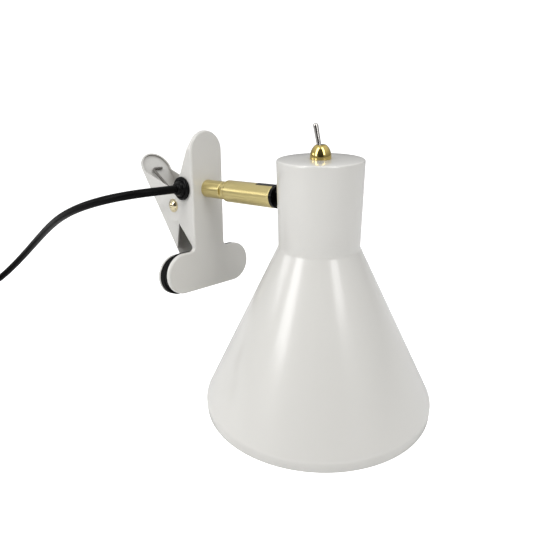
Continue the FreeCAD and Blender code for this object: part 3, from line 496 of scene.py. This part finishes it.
# %% The tone group
tone_tree, into, out = group_tree(
    "tone_drift",
    [("Light", "Color", (1, 1, 1, 1)), ("Deep", "Color", (0.9, 0.9, 0.9, 1)), ("Size", "Float", 40.0)],
    [("Color", "Color")])
place = node(tone_tree, "TexCoord")
clouds = node(tone_tree, "TexNoise", Detail=5.0, Roughness=0.6)
mix = node(tone_tree, "Mix", data_type="RGBA")
tone_tree.links.new(place.outputs["Object"], clouds.inputs["Vector"])
tone_tree.links.new(into.outputs["Size"], clouds.inputs["Scale"])
tone_tree.links.new(clouds.outputs["Fac"], mix.inputs[0])
tone_tree.links.new(into.outputs["Light"], mix.inputs[6])
tone_tree.links.new(into.outputs["Deep"], mix.inputs[7])
tone_tree.links.new(mix.outputs[2], out.inputs["Color"])

# %% The rings group
ring_tree, into, out = group_tree(
    "lathe_rings", [("Axis", "Vector", (0, 0, 1)), ("Fineness", "Float", 6000.0), ("Strength", "Float", 0.2)],
    [("Normal", "Vector")])
place = node(ring_tree, "TexCoord")
distance = node(ring_tree, "VectorMath", operation="DOT_PRODUCT")
rings = node(ring_tree, "TexNoise", noise_dimensions="1D", Detail=2.0, Roughness=0.7)
bump = node(ring_tree, "Bump", Distance=0.0001)
ring_tree.links.new(place.outputs["Object"], distance.inputs[0])
ring_tree.links.new(into.outputs["Axis"], distance.inputs[1])
ring_tree.links.new(distance.outputs["Value"], rings.inputs["W"])
ring_tree.links.new(into.outputs["Fineness"], rings.inputs["Scale"])
ring_tree.links.new(rings.outputs["Fac"], bump.inputs["Height"])
ring_tree.links.new(into.outputs["Strength"], bump.inputs["Strength"])
ring_tree.links.new(bump.outputs["Normal"], out.inputs["Normal"])

# %% The edge group
# A mask of edges. Where it is strong, a lighter colour is painted in, mostly as a painted highlight.
edge_tree, into, out = group_tree(
    "painted_edge_highlight", [("Reach", "Float", 0.0006), ("Gain", "Float", 3.0)], [("Edge", "Float")])
soft = node(edge_tree, "Bevel", samples=4)
flat = node(edge_tree, "NewGeometry")
turn = node(edge_tree, "VectorMath", operation="DOT_PRODUCT")
edge_tree.links.new(into.outputs["Reach"], soft.inputs["Radius"])
edge_tree.links.new(soft.outputs["Normal"], turn.inputs[0])
edge_tree.links.new(flat.outputs["Normal"], turn.inputs[1])
away = maths(edge_tree, "SUBTRACT", 1.0, turn.outputs["Value"])
strong = maths(edge_tree, "MULTIPLY", away, into.outputs["Gain"])
edge_tree.links.new(maths(edge_tree, "MINIMUM", strong, 1.0), out.inputs["Edge"])

# %% The recess group
# Ambient occlusion within the piece itself: a mask for where a darker colour is painted in as painted shade.
painted_shade_tree, into, out = group_tree(
    "painted_recess_shade", [("Reach", "Float", 0.03), ("Depth", "Float", 1.5)], [("Open", "Float")])
shelter = node(painted_shade_tree, "AmbientOcclusion", samples=8, only_local=True)
painted_shade_tree.links.new(into.outputs["Reach"], shelter.inputs["Distance"])
open_share = maths(painted_shade_tree, "POWER", shelter.outputs["AO"], into.outputs["Depth"])
painted_shade_tree.links.new(open_share, out.inputs["Open"])
print("shader groups:", [tree.name for tree in bpy.data.node_groups])

# %% [markdown]
# ## Starting a finish
#
# Every finish is one Principled shader. What is the same all over a piece, such as its metallic or coat, is
# set on the shader's own sockets. What changes from place to place comes from the groups.

# %% Finish helpers
def finish(name, **sockets):
    """A material with one Principled shader, and those sockets set."""
    material = bpy.data.materials.new(name)
    material.use_nodes = True
    shader = material.node_tree.nodes["Principled BSDF"]
    for key, value in sockets.items():
        shader.inputs[key.replace("_", " ")].default_value = value
    return material


def effect(material, tree, **values):
    """Places a shared group in a material with its own values."""
    made = material.node_tree.nodes.new("ShaderNodeGroup")
    made.node_tree = tree
    for key, value in values.items():
        made.inputs[key].default_value = value
    return made


def feed(material, source, socket):
    shader = material.node_tree.nodes["Principled BSDF"]
    material.node_tree.links.new(source, shader.inputs[socket])


def blend(material, mask, low, high):
    """Mixes two colours by a mask. Each colour is a socket or a plain value."""
    mix = node(material.node_tree, "Mix", data_type="RGBA")
    material.node_tree.links.new(mask, mix.inputs[0])
    for socket, colour in ((mix.inputs[6], low), (mix.inputs[7], high)):
        if isinstance(colour, tuple):
            socket.default_value = colour
        else:
            material.node_tree.links.new(colour, socket)
    return mix.outputs[2]


def moulded(name, light, deep, smoothest, roughest, size, strength, **sockets):
    """A moulded or coated finish: a drifting tone, a handled gloss and an even grain."""
    material = finish(name, **sockets)
    tone = effect(material, tone_tree, Light=light, Deep=deep, Size=35.0)
    feed(material, tone.outputs["Color"], "Base Color")
    film = effect(material, film_tree, Smooth=smoothest, Rough=roughest, Size=45.0)
    feed(material, film.outputs["Roughness"], "Roughness")
    feed(material, effect(material, grain_tree, Size=size, Strength=strength).outputs["Normal"], "Normal")
    return material


# %% [markdown]
# ## The paint
#
# The shade and both grips of the clip have the same warm off-white stove enamel. It is satin, with a thin
# gloss on top, and its surface has the faint ripple that painters call orange peel. Along the edges a
# lighter colour is painted in: partly a painted highlight, partly the thinner, rubbed coat. Inside the folded
# trays and other hollows the colour is darkened by ambient occlusion, which is painted shade.

# %% Mix the paint
paint = finish("warm_white_paint", Specular_IOR_Level=0.5, Coat_Weight=0.85, Coat_Roughness=0.15)
tone = effect(paint, tone_tree, Light=(0.702, 0.692, 0.661, 1), Deep=(0.694, 0.683, 0.650, 1), Size=22.0)
# Edges get a lighter colour: partly a painted highlight, partly the thinner, rubbed coat there.
edge = effect(paint, edge_tree, Reach=0.0008, Gain=1.2)
highlit_edge_colour = blend(paint, edge.outputs["Edge"], tone.outputs["Color"], (0.78, 0.77, 0.74, 1))
# Hollows get a darker colour from ambient occlusion: this is painted shade.
shade_in_hollows = effect(paint, painted_shade_tree, Reach=0.03, Depth=1.6)
shaded_highlit_colour = blend(paint, shade_in_hollows.outputs["Open"], (0.30, 0.28, 0.25, 1), highlit_edge_colour)
feed(paint, shaded_highlit_colour, "Base Color")
feed(paint, effect(paint, film_tree, Smooth=0.275, Rough=0.285, Size=26.0).outputs["Roughness"], "Roughness")
feed(paint, effect(paint, grain_tree, Size=420.0, Strength=0.06).outputs["Normal"], "Normal")

# %% [markdown]
# ## Brass, chrome and steel
#
# The arm is turned brass, left with the tool's fine rings, so its highlight spreads along the bar. The dome
# nut is polished. The lever is plated and mirror-bright. Screws, nuts and the bracket are zinc-plated, and
# the springs are drawn wire, darker and duller.

# %% Turned brass
turned_brass = finish("turned_brass", Metallic=1.0)
tone = effect(turned_brass, tone_tree, Light=(0.70, 0.595, 0.28, 1), Deep=(0.65, 0.54, 0.235, 1), Size=60.0)
# Edges are painted a paler, brighter brass: a painted highlight, and partly the burnish that handling gives an
# edge.
edge = effect(turned_brass, edge_tree, Reach=0.0004, Gain=2.0)
highlit_brass_colour = blend(turned_brass, edge.outputs["Edge"], tone.outputs["Color"], (0.94, 0.84, 0.50, 1))
feed(turned_brass, highlit_brass_colour, "Base Color")
film = effect(turned_brass, film_tree, Smooth=0.28, Rough=0.33, Size=90.0)
feed(turned_brass, film.outputs["Roughness"], "Roughness")
rings = effect(turned_brass, ring_tree, Axis=ARM_AXIS, Fineness=5200.0, Strength=0.16)
feed(turned_brass, rings.outputs["Normal"], "Normal")


# %% Polished and plated metals
def metal(name, light, deep, smoothest, roughest, size, strength):
    """A bare or plated metal with a faint grain."""
    return moulded(name, light, deep, smoothest, roughest, size, strength, Metallic=1.0)


polished_brass = metal("polished_brass", (0.74, 0.59, 0.22, 1), (0.64, 0.48, 0.15, 1), 0.05, 0.10, 500.0, 0.01)
pale_brass = metal("pale_brass", (0.84, 0.76, 0.55, 1), (0.72, 0.62, 0.38, 1), 0.12, 0.22, 900.0, 0.04)
chrome = metal("chrome_plate", (0.60, 0.58, 0.56, 1), (0.52, 0.50, 0.47, 1), 0.05, 0.10, 600.0, 0.01)
zinc = metal("zinc_steel", (0.62, 0.63, 0.66, 1), (0.48, 0.49, 0.50, 1), 0.28, 0.42, 1500.0, 0.12)
dark_steel = metal("dark_steel", (0.16, 0.15, 0.14, 1), (0.08, 0.08, 0.08, 1), 0.30, 0.45, 1400.0, 0.10)
spring_steel = metal("spring_steel", (0.27, 0.26, 0.24, 1), (0.18, 0.17, 0.16, 1), 0.20, 0.32, 2200.0, 0.10)
nickel = metal("nickel_plate", (0.76, 0.74, 0.69, 1), (0.66, 0.64, 0.60, 1), 0.12, 0.22, 1200.0, 0.04)

# %% [markdown]
# ## Rubber and plastic
#
# The bush, the pads and the cord are all black, but not alike: the bush is shiny rubber, the pads are matt,
# and the cord has a satin jacket. The lampholder is pale moulded plastic round a glazed insulator. Black is
# never set to zero, because even carbon-black rubber gives back a little light.

# %% Mould the rubber and plastic


def black(name, light, deep, smoothest, roughest, size, strength, shine):
    """Carbon-filled rubber or plastic: nearly black, with a weak shine."""
    tones = [(tone, tone, tone * 1.05, 1) for tone in (light, deep)]
    return moulded(name, *tones, smoothest, roughest, size, strength, Specular_IOR_Level=shine)


bush_rubber = black("bush_rubber", 0.004, 0.0025, 0.20, 0.30, 1300.0, 0.05, 0.10)
pad_rubber = black("pad_rubber", 0.005, 0.003, 0.55, 0.75, 1800.0, 0.22, 0.10)
cord_jacket = black("cord_jacket", 0.0035, 0.0025, 0.30, 0.42, 1600.0, 0.08, 0.06)
plug_plastic = black("plug_plastic", 0.012, 0.008, 0.38, 0.52, 1500.0, 0.14, 0.30)
tie_plastic = black("tie_plastic", 0.016, 0.010, 0.42, 0.55, 1500.0, 0.10, 0.30)
black_plastic = black("black_plastic", 0.004, 0.003, 0.16, 0.26, 1200.0, 0.04, 0.15)
holder_plastic = moulded(
    "holder_plastic", (0.80, 0.79, 0.75, 1), (0.74, 0.73, 0.68, 1), 0.22, 0.32, 900.0, 0.03)
ceramic = moulded("ceramic_white", (0.86, 0.85, 0.81, 1), (0.80, 0.79, 0.74, 1), 0.10, 0.18, 300.0, 0.03)
lead_brown = moulded("lead_brown", (0.22, 0.09, 0.04, 1), (0.17, 0.07, 0.03, 1), 0.36, 0.48, 1500.0, 0.05)
lead_blue = moulded("lead_blue", (0.05, 0.15, 0.45, 1), (0.04, 0.11, 0.36, 1), 0.36, 0.48, 1500.0, 0.05)

# %% [markdown]
# ## Giving every part its finish
#
# The record says which slot each CAD node belongs to. A table of finishes by slot then covers them all. The
# new pieces get theirs one by one.

# %% Dress the parts
finishes = {
    "warm_white_paint": paint, "black_rubber": pad_rubber, "pale_brass": pale_brass,
    "satin_brass": turned_brass, "polished_brass": polished_brass, "spring_steel": spring_steel,
    "cord_jacket": cord_jacket, "plug_plastic": plug_plastic, "tie_plastic": tie_plastic,
    "nickel_plate": nickel, "dark_steel": dark_steel, "black_plastic": black_plastic, "zinc_steel": zinc,
    "holder_plastic": holder_plastic, "ceramic_white": ceramic, "chrome_plate": chrome,
    "lead_brown": lead_brown, "lead_blue": lead_blue,
}


def dress(piece, material):
    piece.data.materials.clear()
    piece.data.materials.append(material)


for part in frame["record"]["subparts"]:
    dress(nodes[part["node"]], finishes[part["material_slot"]])
for piece, material in (
    (lamp_shade, paint), (switch_dome, polished_brass), (toggle_bat, chrome), (cord_bush, bush_rubber),
    (mains_cord, cord_jacket), (spring_hook, spring_steel),
):
    dress(piece, material)

# %% [markdown]
# ## The floor and the light
#
# The lamp stands on a plain white sweep under soft studio light. Two tall soft boxes stand on either side
# of the viewer, and they draw the two pale stripes down the cone and the two bright spots on the dome. A
# third, low and weak, stands further round to the left, beyond the first. The room itself is a gradient,
# dim at the horizon and brighter overhead, with one dark patch on the side that the lamp is looked at from,
# as where a person would stand, so that polished metal has something dark to show. The floor and the
# backdrop are white to the camera only.

# %% Floor and backdrop
bpy.ops.object.select_all(action="DESELECT")
bpy.ops.mesh.primitive_plane_add(size=12)
floor = bpy.context.object
floor.name = "floor"
FLOOR_GLOW, BACKDROP_GLOW = 0.72, 1.15
FLOOR_GREY = (0.80, 0.80, 0.80, 1)
floor_paint = finish("floor_white", Base_Color=FLOOR_GREY, Roughness=0.9, Emission_Color=(1, 1, 1, 1))
seen = node(floor_paint.node_tree, "LightPath")
glow = maths(floor_paint.node_tree, "MULTIPLY", seen.outputs["Is Camera Ray"], FLOOR_GLOW)
feed(floor_paint, glow, "Emission Strength")
dress(floor, floor_paint)

# %% The room
DARK_SIDE = Vector((-0.70, -0.56, 0.44)).normalized()
world = bpy.data.worlds.new("studio")
bpy.context.scene.world = world
world.use_nodes = True
room = world.node_tree
backdrop = node(room, "Background", Color=(1, 1, 1, 1), Strength=BACKDROP_GLOW)
surroundings = room.nodes["Background"]
surroundings.inputs["Color"].default_value = (1, 1, 1, 1)
way = node(room, "TexCoord")
height = node(room, "SeparateXYZ")
climb = node(room, "MapRange", interpolation_type="SMOOTHSTEP")
front = node(room, "VectorMath", operation="DOT_PRODUCT")
front.inputs[1].default_value = DARK_SIDE
gap = node(room, "MapRange", interpolation_type="SMOOTHSTEP")
for ramp, from_low, from_high, to_low, to_high in (
    (climb, -0.10, 0.75, 0.23, 0.78), (gap, 0.68, 0.92, 1.0, 0.12),
):
    ramp.inputs["From Min"].default_value, ramp.inputs["From Max"].default_value = from_low, from_high
    ramp.inputs["To Min"].default_value, ramp.inputs["To Max"].default_value = to_low, to_high
room.links.new(way.outputs["Generated"], height.inputs[0])
room.links.new(height.outputs["Z"], climb.inputs["Value"])
room.links.new(way.outputs["Generated"], front.inputs[0])
room.links.new(front.outputs["Value"], gap.inputs["Value"])
brightness = maths(room, "MULTIPLY", climb.outputs["Result"], gap.outputs["Result"])
room.links.new(brightness, surroundings.inputs["Strength"])
seen = node(room, "LightPath")
choose = node(room, "MixShader")
room.links.new(seen.outputs["Is Camera Ray"], choose.inputs[0])
room.links.new(surroundings.outputs[0], choose.inputs[1])
room.links.new(backdrop.outputs[0], choose.inputs[2])
room.links.new(choose.outputs[0], room.nodes["World Output"].inputs["Surface"])


# %% Soft boxes
LIT_POINT = Vector((0, 0.03, 0.10))


def soft_box(name, azimuth, elevation, distance, width, height, power):
    """A rectangular lamp that faces the shade from a compass angle and a height."""
    a, e = math.radians(azimuth), math.radians(elevation)
    way = Vector((math.cos(a) * math.cos(e), math.sin(a) * math.cos(e), math.sin(e)))
    data = bpy.data.lights.new(name, "AREA")
    data.shape = "RECTANGLE"
    data.size, data.size_y, data.energy = width, height, power
    lamp = bpy.data.objects.new(name, data)
    bpy.context.scene.collection.objects.link(lamp)
    lamp.location = LIT_POINT + way * distance
    lamp.rotation_euler = way.to_track_quat("Z", "Y").to_euler()


soft_box("left_box", 167, 38, 0.95, 0.32, 1.05, 4.7)
soft_box("right_box", -101, 44, 0.95, 0.28, 1.00, 3.3)
soft_box("side_box", 129, 14, 0.95, 0.40, 0.15, 0.50)
bpy.context.scene.view_settings.view_transform = "Standard"
